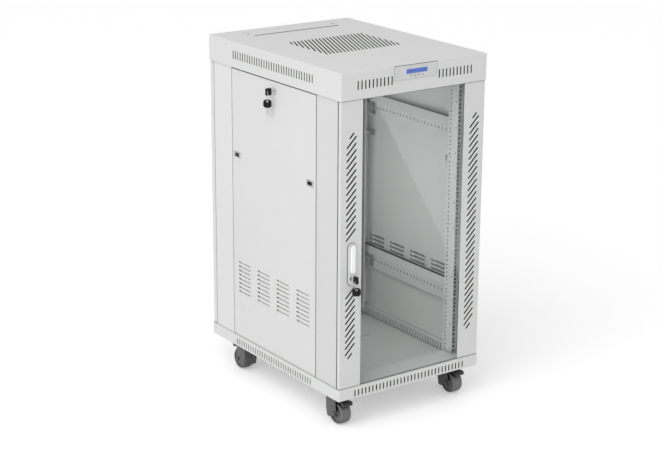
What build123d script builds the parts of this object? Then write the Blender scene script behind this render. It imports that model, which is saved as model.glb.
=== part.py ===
from build123d import *
import os
from math import atan2, cos, degrees, hypot, radians, sin

# 22-unit 19 in rack cabinet on four casters: glazed front door, vented rear door, latched side
# panels, and a cap with two fans and their controller. Millimetres.
# Frame: origin on the floor under the middle of the cabinet, front faces -Y, +X right, +Z up.

# ---------------------------------------------------------------- driving dimensions
WIDTH, DEPTH = 600.0, 800.0
BODY_HEIGHT = 1118.0           # base underside to top of the cap
CASTER_HEIGHT = 110.0          # floor to base underside
RACK_UNIT = 44.45
UNITS = 22
SHEET = 1.5                    # base, cap, posts
DOOR_SHEET = 1.2               # doors and panels
BASE_HEIGHT = 41.5
CAP_HEIGHT = 91.3

HALF_WIDTH, HALF_DEPTH = WIDTH / 2, DEPTH / 2
BASE_Z = CASTER_HEIGHT
BASE_TOP = BASE_Z + BASE_HEIGHT
CAP_TOP = BASE_Z + BODY_HEIGHT
CAP_Z = CAP_TOP - CAP_HEIGHT
ROOF_UNDER = CAP_TOP - SHEET

POST_X = HALF_WIDTH - 3.0      # outer face of posts, doors and panels
FRONT_POST_Y = -380.0          # front face of the front posts
REAR_POST_Y = 373.0            # rear face of the rear posts
OPENING_Y = (-262.0, 258.0)    # front and rear edge of the side opening

DOOR_FRONT, DOOR_BACK = -398.0, -384.0
DOOR_BOTTOM, DOOR_TOP = BASE_Z + 43.0, BASE_Z + 1025.0
FRONT_PIVOT = (290.0, -392.0)
REAR_PIVOT = (-290.0, 390.0)
PIN_RADIUS = 3.0

SLOT_PITCH, SLOT_WIDTH = 15.0, 5.0           # upright slots of base and cap
LOUVRE_LENGTH, LOUVRE_WIDTH = 78.0, 5.0      # level slots of rear door and side panels
LOUVRE_PITCH, LOUVRE_ROWS = 15.6, 8
LOUVRE_Z = BASE_Z + 215.0                    # lowest row

# name: (x and y of the swivel axis, +1 when the wheel trails to the front)
CASTERS = {
    "front_left": (-243.0, -306.0, 1),
    "front_right": (243.0, -306.0, 1),
    "rear_left": (-243.0, 256.0, -1),
    "rear_right": (243.0, 256.0, -1),
}
CASTER_BOLTS = [(x, y) for x in (-22.5, 22.5) for y in (-38.0, 38.0)]
CASTER_BOLT_HOLE_R = 4.25
CASTER_PLATE = 3.0


# ---------------------------------------------------------------- outlines in local x, y
def polygon(points):
    return Wire.make_polygon([Vector(x, y, 0) for x, y in points], close=True)


def rectangle(x, y, width, height):
    dx, dy = width / 2, height / 2
    return polygon([(x - dx, y - dy), (x + dx, y - dy), (x + dx, y + dy), (x - dx, y + dy)])


def circle(x, y, radius):
    return Wire.make_circle(radius, Plane(origin=(x, y, 0)))


def slot(x, y, length, width, angle=0.0):
    """Round-ended slot; length is over the ends, angle in degrees from local x."""
    radius = width / 2
    half = length / 2 - radius
    ux, uy = cos(radians(angle)), sin(radians(angle))

    def at(along, across):
        return Vector(x + along * ux - across * uy, y + along * uy + across * ux, 0)

    return Wire([
        Edge.make_line(at(-half, -radius), at(half, -radius)),
        Edge.make_three_point_arc(at(half, -radius), at(half + radius, 0), at(half, radius)),
        Edge.make_line(at(half, radius), at(-half, radius)),
        Edge.make_three_point_arc(at(-half, radius), at(-half - radius, 0), at(-half, -radius)),
    ])


# ---------------------------------------------------------------- placing
def on_xy(z):
    """Local z runs up from height z."""
    return Plane(origin=(0, 0, z), x_dir=(1, 0, 0), z_dir=(0, 0, 1)).location


def on_xz(y):
    """Local x = X, local y = Z; extrudes towards -Y from y."""
    return Plane(origin=(0, y, 0), x_dir=(1, 0, 0), z_dir=(0, -1, 0)).location


def on_yz(x):
    """Local x = Y, local y = Z; extrudes towards +X from x."""
    return Plane(origin=(x, 0, 0), x_dir=(0, 1, 0), z_dir=(1, 0, 0)).location


def solids_of(shape):
    """Flat list of the solids in a shape or nested list."""
    if isinstance(shape, (list, tuple, ShapeList)):
        return [solid for item in shape for solid in solids_of(item)]
    if isinstance(shape, Solid):
        return [shape]
    return list(shape.solids())


def placed(shape, origin, x_dir, z_dir=(0, 0, 1)):
    location = Plane(origin=origin, x_dir=x_dir, z_dir=z_dir).location
    return [solid.moved(location) for solid in solids_of(shape)]


def mirror_x(shape):
    return [solid.mirror(Plane.YZ) for solid in solids_of(shape)]


def both_sides(shape):
    return [shape, mirror_x(shape)]


# ---------------------------------------------------------------- solids
def prism(outline, holes, thickness, location):
    face = Face(outline, holes) if holes else Face(outline)
    return Solid.extrude(face, Vector(0, 0, thickness)).moved(location)


def prisms(outlines, thickness, location):
    return [prism(outline, [], thickness, location) for outline in outlines]


def box(x0, x1, y0, y1, z0, z1):
    """Box between two corners; x and y limits may come in either order."""
    x0, x1 = min(x0, x1), max(x0, x1)
    y0, y1 = min(y0, y1), max(y0, y1)
    return Solid.make_box(x1 - x0, y1 - y0, z1 - z0, Plane(origin=(x0, y0, z0)))


def cylinder(radius, height, origin, direction=(0, 0, 1)):
    return Solid.make_cylinder(radius, height, Plane(origin=origin, z_dir=direction))


def fuse(*shapes):
    solids = solids_of(shapes)
    return solids[0].fuse(*solids[1:])


def cut(shape, *tools):
    return shape.cut(*solids_of(tools))


def round_uprights(shape, radius):
    return shape.fillet(radius, [e for e in shape.edges() if abs(e.tangent_at(0).Z) > 0.99])


def round_rim(shape, radius, axis, position):
    """Fillet the edges centred in the plane axis = position."""
    rim = [e for e in shape.edges() if abs(getattr(e.center(), axis) - position) < 0.01]
    return shape.fillet(radius, rim)


def centred_row(count):
    return [SLOT_PITCH * (k - (count - 1) / 2) for k in range(count)]


def upright_slots(centres, z0, z1, location):
    outlines = [slot(c, (z0 + z1) / 2, z1 - z0, SLOT_WIDTH, 90) for c in centres]
    return prisms(outlines, 4, location)


def louvres(centres, first_z):
    return [slot(c, first_z + LOUVRE_PITCH * row, LOUVRE_LENGTH, LOUVRE_WIDTH)
            for c in centres for row in range(LOUVRE_ROWS)]


def pin_holes(pivots, z, clearance=0.02):
    return [cylinder(PIN_RADIUS + clearance, 6, (x, y, z)) for x, y in pivots]


def door_pin_holes(pivot):
    return [pin_holes([pivot], z, 0.06) for z in (DOOR_BOTTOM - 2, DOOR_TOP - 4)]


# ---------------------------------------------------------------- base tray
FRONT_MEMBER, REAR_MEMBER, SIDE_MEMBER = 96.0, 26.0, 18.0     # closed members round the tray
BASE_SLOT_Z = (BASE_Z + 5.7, BASE_Z + 29.0)
CABLE_Y, CABLE_WIDTH, CABLE_DEPTH = 120.0, 300.0, 110.0       # opening in the floor plate
FLOOR_TOP = BASE_Z + SHEET


def base_tray():
    low, high = FLOOR_TOP, BASE_TOP - SHEET
    x_in = HALF_WIDTH - SIDE_MEMBER
    base = round_uprights(
        box(-HALF_WIDTH, HALF_WIDTH, -HALF_DEPTH, HALF_DEPTH, BASE_Z, BASE_TOP), 3.0)
    pit = box(-x_in, x_in, -HALF_DEPTH + FRONT_MEMBER, HALF_DEPTH - REAR_MEMBER,
              low, BASE_TOP + 5)
    front_hollow = box(-x_in + SHEET, x_in - SHEET, -HALF_DEPTH + SHEET,
                       -HALF_DEPTH + FRONT_MEMBER - SHEET, low, high)
    rear_hollow = box(-x_in + SHEET, x_in - SHEET, HALF_DEPTH - REAR_MEMBER + SHEET,
                      HALF_DEPTH - SHEET, low, high)
    side_hollows = [box(s * (HALF_WIDTH - SHEET), s * (x_in + SHEET),
                        -HALF_DEPTH + SHEET, HALF_DEPTH - SHEET, low, high) for s in (-1, 1)]
    base = cut(base, pit, front_hollow, rear_hollow, side_hollows)

    row = centred_row(32)
    tools = [upright_slots(row, *BASE_SLOT_Z, on_xz(y))
             for y in (-HALF_DEPTH + SHEET + 1, HALF_DEPTH + 1)]
    for s in (-1, 1):
        for wall_x in (HALF_WIDTH - SHEET / 2, x_in + SHEET / 2):
            tools.append(upright_slots(row, *BASE_SLOT_Z, on_yz(s * wall_x - 2)))
    tools.append(box(-CABLE_WIDTH / 2, CABLE_WIDTH / 2, CABLE_Y - CABLE_DEPTH / 2,
                     CABLE_Y + CABLE_DEPTH / 2, BASE_Z - 1, FLOOR_TOP + 1))
    for x, y, _ in CASTERS.values():
        for dx, dy in CASTER_BOLTS:
            tools.append(cylinder(CASTER_BOLT_HOLE_R, 6, (x + dx, y + dy, BASE_Z - 2)))
    tools.append(pin_holes((FRONT_PIVOT, REAR_PIVOT), BASE_TOP - 4))
    return cut(base, *tools)


# ---------------------------------------------------------------- top cover
CAP_LIP = 20.0                                       # width of the rim turned in at the bottom
CAP_SLOT_Z = (BASE_Z + 1057.5, BASE_Z + 1087.0)
GRILLE_X, GRILLE_Y = 160.0, 125.0                    # half sizes of the slotted rectangle
GRILLE_LEAN = 108.0                                  # x shift of a slot over the full depth
GRILLE_END = 2.2                                     # from rectangle edge to slot end
GRILLE_SLOT_WIDTH = 5.6
ENTRY_X, ENTRY_Y0, ENTRY_Y1 = 191.0, 293.0, 361.0    # cable entry at the rear of the roof
WINDOW_X = 88.5                                      # controller window in the front wall
WINDOW_Z0, WINDOW_Z1 = BASE_Z + 1067.5, BASE_Z + 1115.5


def grille_outlines():
    """Slanted roof slots, clipped to the grille rectangle."""
    slant = atan2(2 * GRILLE_Y, GRILLE_LEAN)
    ux, uy = cos(slant), sin(slant)
    outlines = []
    for k in range(-13, 14):
        x = k * SLOT_PITCH
        start = max(-GRILLE_Y / uy, (-GRILLE_X - x) / ux) + GRILLE_END
        end = min(GRILLE_Y / uy, (GRILLE_X - x) / ux) - GRILLE_END
        middle = (start + end) / 2
        outlines.append(slot(x + middle * ux, middle * uy, end - start,
                             GRILLE_SLOT_WIDTH, degrees(slant)))
    return outlines


def top_cover():
    cap = round_uprights(
        box(-HALF_WIDTH, HALF_WIDTH, -HALF_DEPTH, HALF_DEPTH, CAP_Z, CAP_TOP), 3.0)
    cap = round_rim(cap, 1.6, "Z", CAP_TOP)
    x_in, y_in = HALF_WIDTH - SHEET, HALF_DEPTH - SHEET
    cavity = box(-x_in, x_in, -y_in, y_in, CAP_Z + SHEET, ROOF_UNDER)
    x_in, y_in = HALF_WIDTH - CAP_LIP, HALF_DEPTH - CAP_LIP
    mouth = box(-x_in, x_in, -y_in, y_in, CAP_Z - 1, CAP_Z + SHEET + 1)
    cap = cut(cap, cavity, mouth)

    beside_window = [s * (97.5 + SLOT_PITCH * k) for s in (-1, 1) for k in range(10)]
    tools = [upright_slots(centred_row(33), *CAP_SLOT_Z,
                           on_yz(s * (HALF_WIDTH - SHEET / 2) - 2)) for s in (-1, 1)]
    tools += [
        upright_slots(beside_window, *CAP_SLOT_Z, on_xz(-HALF_DEPTH + SHEET + 1)),
        upright_slots(centred_row(32), *CAP_SLOT_Z, on_xz(HALF_DEPTH + 1)),
        prisms(grille_outlines(), 6, on_xy(CAP_TOP - 4)),
        box(-ENTRY_X, ENTRY_X, ENTRY_Y0, ENTRY_Y1, CAP_TOP - 4, CAP_TOP + 1),
        box(-180, 180, ENTRY_Y0 - 8, ENTRY_Y0 + 1, CAP_TOP - 4, CAP_TOP + 1),
        box(-WINDOW_X, WINDOW_X, -HALF_DEPTH - 1, -HALF_DEPTH + SHEET + 1,
            WINDOW_Z0, WINDOW_Z1),
        pin_holes((FRONT_PIVOT, REAR_PIVOT), CAP_Z - 2),
    ]
    return cut(cap, *tools)


# ---------------------------------------------------------------- posts and depth members
MEMBER_X = 270.0                                     # inner face of the depth members
MEMBER_SPANS = [(BASE_Z + 205.0, BASE_Z + 285.0), (BASE_Z + 790.0, BASE_Z + 870.0)]


def post(face_y, edge_y, inward):
    """Right-hand folded channel, open to the inside; inward is the Y sense from face to edge."""
    fold = inward * SHEET
    outline = [
        (POST_X, face_y), (POST_X, edge_y),
        (POST_X - 15, edge_y), (POST_X - 15, edge_y - fold),
        (POST_X - SHEET, edge_y - fold), (POST_X - SHEET, face_y + fold),
        (POST_X - 35, face_y + fold), (POST_X - 35, face_y),
    ]
    return prism(polygon(outline), [], CAP_Z - BASE_TOP, on_xy(BASE_TOP))


def depth_member(z0, z1):
    """Right-hand slotted member running from front post to rear post."""
    y0, y1 = FRONT_POST_Y + SHEET + 0.1, REAR_POST_Y - SHEET - 0.1
    fold_z = z1 - 26
    section = [
        (MEMBER_X, z0), (MEMBER_X, fold_z), (MEMBER_X + 4, z1),
        (MEMBER_X + 11, z1), (MEMBER_X + 11, z1 - SHEET),
        (MEMBER_X + 4 + SHEET, z1 - SHEET), (MEMBER_X + SHEET, fold_z - 1),
        (MEMBER_X + SHEET, z0 + SHEET), (MEMBER_X + 11, z0 + SHEET), (MEMBER_X + 11, z0),
    ]
    wire = Wire.make_polygon([Vector(x, y0, z) for x, z in section], close=True)
    member = Solid.extrude(Face(wire), Vector(0, y1 - y0, 0))
    outlines = [slot(-350 + 20 * i, z0 + 34, 9, 4.5, 90) for i in range(36)]
    return cut(member, prisms(outlines, 6, on_yz(MEMBER_X - 2)))


# ---------------------------------------------------------------- 19 in mounting rails
RAIL_HOLE_X = 465.1 / 2                              # 19 in hole spacing
RAIL_X = 450.0 / 2                                   # half of the clear opening
RAIL_WIDTH, RAIL_SHEET = 23.0, 2.0
RAIL_Z0, RAIL_Z1 = BASE_TOP + 0.2, CAP_Z - 0.7
FIRST_UNIT_Z = (RAIL_Z0 + RAIL_Z1 - UNITS * RACK_UNIT) / 2
FRONT_RAIL, REAR_RAIL = (-348.0, 1), (252.0, -1)     # Y of the face, Y sense of the flanges


def rail(face_y, inward):
    """Right-hand rail: a punched face with two flanges running inward."""
    x0, x1 = RAIL_X, RAIL_X + RAIL_WIDTH
    inner_y = face_y + inward * RAIL_SHEET
    outline = [
        (x0, face_y), (x1, face_y),
        (x1, face_y + inward * 48), (x1 - RAIL_SHEET, face_y + inward * 48),
        (x1 - RAIL_SHEET, inner_y), (x0 + RAIL_SHEET, inner_y),
        (x0 + RAIL_SHEET, face_y + inward * 50), (x0, face_y + inward * 50),
    ]
    body = prism(polygon(outline), [], RAIL_Z1 - RAIL_Z0, on_xy(RAIL_Z0))
    square, round_ = [], []
    for unit in range(UNITS):
        unit_z = FIRST_UNIT_Z + unit * RACK_UNIT
        for dz in (6.35, 22.225, 38.1):
            square.append(rectangle(RAIL_HOLE_X, unit_z + dz, 9.5, 9.5))
            round_.append(circle(face_y + inward * 38, unit_z + dz, 3.2))
        if unit % 2 == 0:
            round_.append(circle(face_y + inward * 9, unit_z + 14.3, 2.4))
    face_middle = face_y + inward * RAIL_SHEET / 2
    return cut(body, prisms(square, 6, on_xz(face_middle + 3)),
               prisms(round_, 5, on_yz(RAIL_X - 1.5)))


def rail_bracket(z0, face_y, inward):
    """Z-shaped bracket from a right-hand rail to the depth member whose underside is z0."""
    x0, x1 = RAIL_X + RAIL_WIDTH, MEMBER_X
    y0 = face_y + inward * 12
    outline = [
        (x0, y0), (x0 + 2, y0), (x0 + 2, y0 + inward * 30), (x1, y0 + inward * 30),
        (x1, y0 + inward * 62), (x1 - 2, y0 + inward * 62),
        (x1 - 2, y0 + inward * 32), (x0, y0 + inward * 32),
    ]
    bracket = prism(polygon(outline), [], 44, on_xy(z0 + 6))
    return cut(bracket, [cylinder(3.3, 8, (x1 - 5, y0 + inward * 47, z0 + dz), (1, 0, 0))
                         for dz in (16, 40)])


# ---------------------------------------------------------------- cable entry covers
ROOF_SCREW_X, ROOF_SCREW_Y = 182.0, 328.0
FLOOR_SCREW_X = 157.0
FLOOR_COVER_T = 1.2


def roof_cable_cover():
    gap = 0.6
    cover = box(-ENTRY_X + gap, ENTRY_X - gap, ENTRY_Y0 + gap, ENTRY_Y1 - gap,
                ROOF_UNDER, CAP_TOP)
    tabs = [box(s * 160, s * 205, 305, 350, ROOF_UNDER - SHEET, ROOF_UNDER) for s in (-1, 1)]
    cover = fuse(cover, tabs)
    for x in (-ROOF_SCREW_X, ROOF_SCREW_X):
        cover = cut(cover, cylinder(4.6, 3.0, (x, ROOF_SCREW_Y, ROOF_UNDER)),
                    cylinder(2.6, 6, (x, ROOF_SCREW_Y, CAP_TOP - 5)))
    return cover


def floor_cable_cover():
    holes = [circle(x, CABLE_Y, 2.6) for x in (-FLOOR_SCREW_X, FLOOR_SCREW_X)]
    holes += [slot(0, CABLE_Y + 18 * i, 250, 5) for i in range(-2, 3)]
    outline = rectangle(0, CABLE_Y, CABLE_WIDTH + 30, CABLE_DEPTH + 30)
    return prism(outline, holes, FLOOR_COVER_T, on_xy(FLOOR_TOP))


# ---------------------------------------------------------------- hinge pins
def hinge_pins():
    """Headed pins fixed in base and cap, pointing into the doors."""
    length, head_r, head_t = 20.0, 5.0, 2.0
    low, high = BASE_TOP - SHEET - head_t, CAP_Z + SHEET + head_t
    pins = []
    for x, y in (FRONT_PIVOT, REAR_PIVOT):
        pins.append(fuse(cylinder(PIN_RADIUS, length, (x, y, low)),
                         cylinder(head_r, head_t, (x, y, low))))
        pins.append(fuse(cylinder(PIN_RADIUS, length, (x, y, high - length)),
                         cylinder(head_r, head_t, (x, y, high - head_t))))
    return pins


# ---------------------------------------------------------------- front door
STILE_X = 210.0                                      # inner edge of the stiles
GLASS_X = 222.5                                      # half width of the pane
GLASS_Y, GLASS_T = DOOR_FRONT + DOOR_SHEET + 1.0, 4.0
STILE_SLOT_X, STILE_SLOT_WIDTH = 254.6, 6.0
STILE_SLOT_LENGTH = 38.5 * 2 ** 0.5
STILE_SLOT_TOP, STILE_SLOT_PITCH = BASE_Z + 888.45, 22.18
STILE_SLOT_ROWS = 33
HANDLE_ROWS = range(15, 23)                          # rows left out behind the handle

HANDLE_X, HANDLE_Z = -251.5, BASE_Z + 477.0
LOCK_Z = BASE_Z + 429.0
SPINDLE_Z = BASE_Z + 536.0
LOCK_R = 8.0
SPINDLE_R = 7.0
PLATE_W, PLATE_H, PLATE_T = 29.0, 144.0, 5.0         # escutcheon
PLATE_FRONT = DOOR_FRONT - PLATE_T
LEVER_BACK = PLATE_FRONT - 0.4
LEVER_T, LEVER_W = 8.0, 17.0
LEVER_BOTTOM = BASE_Z + 448.0
LEVER_PIVOT_Y = LEVER_BACK - 3.4
SPINDLE_END = FRONT_POST_Y + 3.5


def stile(side):
    """Folded stile with slanted slots; side is -1 for the left (handle), +1 for the right."""
    t = DOOR_SHEET
    rebate_x = GLASS_X + 3
    shell = round_uprights(
        box(STILE_X, POST_X, DOOR_FRONT, DOOR_BACK, DOOR_BOTTOM, DOOR_TOP), 1.6)
    hollow = box(rebate_x + t, POST_X - t, DOOR_FRONT + t, DOOR_BACK - t,
                 DOOR_BOTTOM + t, DOOR_TOP - t)
    back = box(rebate_x + t + 10, POST_X - t - 12, DOOR_FRONT + t, DOOR_BACK + 1,
               DOOR_BOTTOM + t + 10, DOOR_TOP - t - 10)
    rebate = box(STILE_X - 1, rebate_x, DOOR_FRONT + t, DOOR_BACK + 1,
                 DOOR_BOTTOM - 1, DOOR_TOP + 1)
    body = cut(shell, hollow, back, rebate)
    if side < 0:
        body = body.mirror(Plane.YZ)

    x = side * STILE_SLOT_X
    outlines = [slot(x, STILE_SLOT_TOP - STILE_SLOT_PITCH * k, STILE_SLOT_LENGTH,
                     STILE_SLOT_WIDTH, 45)
                for k in range(STILE_SLOT_ROWS) if side > 0 or k not in HANDLE_ROWS]
    outlines.append(slot(x + 0.8, BASE_Z + 910.1, 25.4, STILE_SLOT_WIDTH, 47))
    outlines.append(slot(x, BASE_Z + 155.4, 26.0, STILE_SLOT_WIDTH, 46))
    return cut(body, prisms(outlines, 4, on_xz(DOOR_FRONT + t + 1)))


def left_stile():
    return cut(stile(-1),
               cylinder(SPINDLE_R + 1.0, 6, (HANDLE_X, DOOR_FRONT - 2, SPINDLE_Z), (0, 1, 0)),
               cylinder(LOCK_R + 1.0, 6, (HANDLE_X, DOOR_FRONT - 2, LOCK_Z), (0, 1, 0)))


def right_stile():
    return cut(stile(1), door_pin_holes(FRONT_PIVOT))


def door_glass():
    return round_uprights(box(-GLASS_X, GLASS_X, GLASS_Y, GLASS_Y + GLASS_T,
                              DOOR_BOTTOM + 1, DOOR_TOP - 1), 1.0)


def door_seal():
    """Right-hand seal: a strip in front of the pane and one along its edge."""
    y0, z0, z1 = DOOR_FRONT + DOOR_SHEET, DOOR_BOTTOM + 2, DOOR_TOP - 2
    return fuse(box(STILE_X + 1.5, GLASS_X, y0, GLASS_Y, z0, z1),
                box(GLASS_X, GLASS_X + 3, y0, GLASS_Y + GLASS_T + 1.5, z0, z1))


def handle_escutcheon():
    plate = prism(slot(HANDLE_X, HANDLE_Z, PLATE_H, PLATE_W, 90), [], PLATE_T,
                  on_xz(DOOR_FRONT))
    plate = round_rim(plate, 1.5, "Y", PLATE_FRONT)
    start = PLATE_FRONT - 1
    return cut(plate,
               cylinder(SPINDLE_R + 0.05, 8, (HANDLE_X, start, SPINDLE_Z), (0, 1, 0)),
               cylinder(LOCK_R + 0.05, 8, (HANDLE_X, start, LOCK_Z), (0, 1, 0)))


def handle_spindle():
    """Spindle through the stile with an eye for the lever, and the lever pin."""
    start = LEVER_BACK - 0.1
    x0, x1 = HANDLE_X - 3.5, HANDLE_X + 3.5
    shaft = cylinder(SPINDLE_R, SPINDLE_END - start, (HANDLE_X, start, SPINDLE_Z), (0, 1, 0))
    eye = cylinder(2.9, 7.0, (x0, LEVER_PIVOT_Y, SPINDLE_Z), (1, 0, 0))
    neck = box(x0, x1, LEVER_PIVOT_Y, LEVER_BACK, SPINDLE_Z - 2.9, SPINDLE_Z + 2.9)
    tail = box(x0, x1, SPINDLE_END - 1, SPINDLE_END + 5, SPINDLE_Z - 3.5, SPINDLE_Z + 3.5)
    pin = cylinder(1.5, 15.0, (HANDLE_X - 7.5, LEVER_PIVOT_Y, SPINDLE_Z), (1, 0, 0))
    return [cut(fuse(shaft, eye, neck, tail), pin), pin]


def latch_cam():
    """Cam on the square spindle tail, upright when withdrawn."""
    x, z = HANDLE_X, SPINDLE_Z
    outline = [(x - 8, z - 9), (x + 8, z - 9), (x + 8, z + 32), (x + 3, z + 37), (x - 8, z + 37)]
    return prism(polygon(outline), [rectangle(x, z, 7.0, 7.0)], 3.0, on_xz(SPINDLE_END + 3.5))


def handle_lever():
    back = LEVER_BACK - 0.4
    top = SPINDLE_Z + LEVER_W / 2
    grip = prism(slot(HANDLE_X, (LEVER_BOTTOM + top) / 2, top - LEVER_BOTTOM, LEVER_W, 90),
                 [], LEVER_T, on_xz(back))
    grip = round_rim(grip, 2.2, "Y", back - LEVER_T)
    pocket = box(HANDLE_X - 3.8, HANDLE_X + 3.8, LEVER_PIVOT_Y - 3.4, LEVER_BACK + 1,
                 SPINDLE_Z - 9.0, SPINDLE_Z + 5.0)
    heel = prism(polygon([(LEVER_BACK + 2, SPINDLE_Z), (LEVER_PIVOT_Y + 3.05, SPINDLE_Z),
                          (LEVER_PIVOT_Y - 2.4, SPINDLE_Z + 9.5),
                          (LEVER_BACK + 2, SPINDLE_Z + 9.5)]),
                 [], 20, on_yz(HANDLE_X - 10))
    pin_hole = cylinder(1.55, 15.2, (HANDLE_X - 7.6, LEVER_PIVOT_Y, SPINDLE_Z), (1, 0, 0))
    return cut(grip, pocket, heel, pin_hole)


# ---------------------------------------------------------------- locks and keys
KEY_T = 7.0                                          # thickness of the key head
KEY_HOLE_R = 4.0
KEY_HOLE = 24.0                                      # hole centre in front of the lock face
RING_R, RING_WIRE_R = 16.0, 0.8
RING_SLACK = 1.2                                     # hole centre to wire centre
# head outlines: local x, y before key_head turns them upright
LOCKED_KEY_HEAD = [(9, -9.5), (9, 9.5), (12, 12.5), (28, 12.5),
                   (31, 9.5), (31, -9.5), (28, -12.5), (12, -12.5)]
SPARE_KEY_HEAD = [(-8, 6), (8, 6), (14, 0), (14, -16),
                  (8, -22), (-8, -22), (-14, -16), (-14, 0)]


def lock_barrel(length, flange_r, flange_t):
    """Barrel along local -z, flange on z = 0, key slot along local y."""
    lock = fuse(cylinder(LOCK_R, length, (0, 0, -length)),
                cylinder(flange_r, flange_t, (0, 0, 0)))
    return cut(lock, box(-1.3, 1.3, -4.2, 4.2, flange_t - 14, flange_t + 1))


def key_head(outline, x_dir, hole_z):
    """Rounded flat head in the local y-z plane; outline x runs along x_dir."""
    head = Solid.extrude(Face(polygon(outline)), Vector(0, 0, KEY_T))
    head = placed(head, (-KEY_T / 2, 0, 0), x_dir, (1, 0, 0))[0]
    rims = [e for e in head.edges() if abs(abs(e.center().X) - KEY_T / 2) < 0.01]
    return cut(head.fillet(1.2, rims), cylinder(KEY_HOLE_R, 12, (-6, 0, hole_z), (1, 0, 0)))


def key_set(lock_face, x_dir, out, heading, turn):
    """Key in a lock with its ring, and the spare key hanging from the ring.

    x_dir and out are local x and z of the lock. heading is that of the hole axis of the
    inserted key in degrees; the ring is turned 25 and the spare key 50 degrees from it.
    """
    blade = box(-1.0, 1.0, -3.6, 3.6, -12, 10)
    key = fuse(blade, key_head(LOCKED_KEY_HEAD, (0, 0, 1), KEY_HOLE))
    hole_x, hole_y = (lock_face[i] + out[i] * KEY_HOLE for i in (0, 1))
    ring_z = lock_face[2] + RING_SLACK - RING_R
    ring_turn = radians(heading + turn * 25.0)
    ring = Solid.make_torus(RING_R, RING_WIRE_R, Plane(
        origin=(hole_x, hole_y, ring_z), z_dir=(-sin(ring_turn), cos(ring_turn), 0)))

    spare_blade = box(-1.0, 1.0, -3.6, 3.6, -46, -21)
    spare = fuse(spare_blade, key_head(SPARE_KEY_HEAD, (0, 1, 0), 0.0))
    spare_turn = radians(heading + turn * 50.0)
    spare = placed(spare, (hole_x, hole_y, ring_z - RING_R - RING_SLACK),
                   (cos(spare_turn), sin(spare_turn), 0.0))
    return [placed(key, lock_face, x_dir, out), ring], spare


FRONT_LOCK_AXES = ((1, 0, 0), (0, -1, 0))            # local x and outward z of each lock
REAR_LOCK_AXES = ((-1, 0, 0), (0, 1, 0))
SIDE_LOCK_AXES = ((0, -1, 0), (-1, 0, 0))
FRONT_FLANGE_T = 1.5
LOCK_FLANGE_R, LOCK_FLANGE_T = 11.0, 2.0             # rear and side locks


def door_lock():
    return placed(lock_barrel(17.0, 9.5, FRONT_FLANGE_T), (HANDLE_X, PLATE_FRONT, LOCK_Z),
                  *FRONT_LOCK_AXES)


# ---------------------------------------------------------------- rear door
REAR_DOOR_Y0, REAR_DOOR_Y1 = 376.0, 398.0
REAR_LOCK_X, REAR_LOCK_Z = 250.0, BASE_Z + 477.0
REAR_LIP = 16.0


def rear_door():
    t = DOOR_SHEET
    y0, y1 = REAR_DOOR_Y0, REAR_DOOR_Y1
    door = round_uprights(box(-POST_X, POST_X, y0, y1, DOOR_BOTTOM, DOOR_TOP), 1.6)
    door = cut(door, box(-POST_X + t, POST_X - t, y0 - 1, y1 - t, DOOR_BOTTOM + t, DOOR_TOP - t))
    lips = cut(box(-POST_X + 0.5, POST_X - 0.5, y0, y0 + t, DOOR_BOTTOM + 0.5, DOOR_TOP - 0.5),
               box(-POST_X + REAR_LIP, POST_X - REAR_LIP, y0 - 1, y0 + 3,
                   DOOR_BOTTOM + REAR_LIP, DOOR_TOP - REAR_LIP))
    door = fuse(door, lips)
    columns = (-180.0, -60.0, 60.0, 180.0)
    outlines = louvres(columns, LOUVRE_Z) + louvres(columns, BASE_Z + 745)
    return cut(door, door_pin_holes(REAR_PIVOT),
               cylinder(LOCK_R + 0.05, 8, (REAR_LOCK_X, y1 - 4, REAR_LOCK_Z), (0, 1, 0)),
               prisms(outlines, 5, on_xz(y1 + 1)))


def rear_lock():
    cam = box(-6, 6, -34, 8, -31.0, -28.2)
    lock = lock_barrel(31.0, LOCK_FLANGE_R, LOCK_FLANGE_T)
    lock = cut(lock, box(-9, 9, -9, 9, -31.1, -28.2))
    return placed([lock, cam], (REAR_LOCK_X, REAR_DOOR_Y1, REAR_LOCK_Z), *REAR_LOCK_AXES)


# ---------------------------------------------------------------- side panels, left side
PANEL_X0, PANEL_X1 = -POST_X, -POST_X + 13.0         # outer face, inner edge
PANEL_Y0, PANEL_Y1 = -258.2, 255.5
PANEL_Z0, PANEL_Z1 = BASE_Z + 43.5, BASE_Z + 1022.6
SIDE_LOCK_Y, SIDE_LOCK_Z = -10.0, BASE_Z + 990.0
LATCH_Y, LATCH_Z = 225.0, BASE_Z + 719.0


def side_panel():
    t = DOOR_SHEET
    panel = box(PANEL_X0, PANEL_X1, PANEL_Y0, PANEL_Y1, PANEL_Z0, PANEL_Z1)
    panel = round_rim(panel, 1.2, "X", PANEL_X0)
    panel = cut(panel, box(PANEL_X0 + t, PANEL_X1 + 1, PANEL_Y0 + t, PANEL_Y1 - t,
                           PANEL_Z0 + t, PANEL_Z1 - t))
    outlines = louvres((-183.0, -61.0, 61.0, 183.0), LOUVRE_Z)
    windows = [box(PANEL_X0 - 1, PANEL_X0 + 3, s * LATCH_Y - 15, s * LATCH_Y + 15,
                   LATCH_Z - 8, LATCH_Z + 8) for s in (-1, 1)]
    return cut(panel, prisms(outlines, 4, on_yz(PANEL_X0 - 1)), windows,
               cylinder(LOCK_R + 0.05, 8, (PANEL_X0 - 3, SIDE_LOCK_Y, SIDE_LOCK_Z), (1, 0, 0)))


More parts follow.
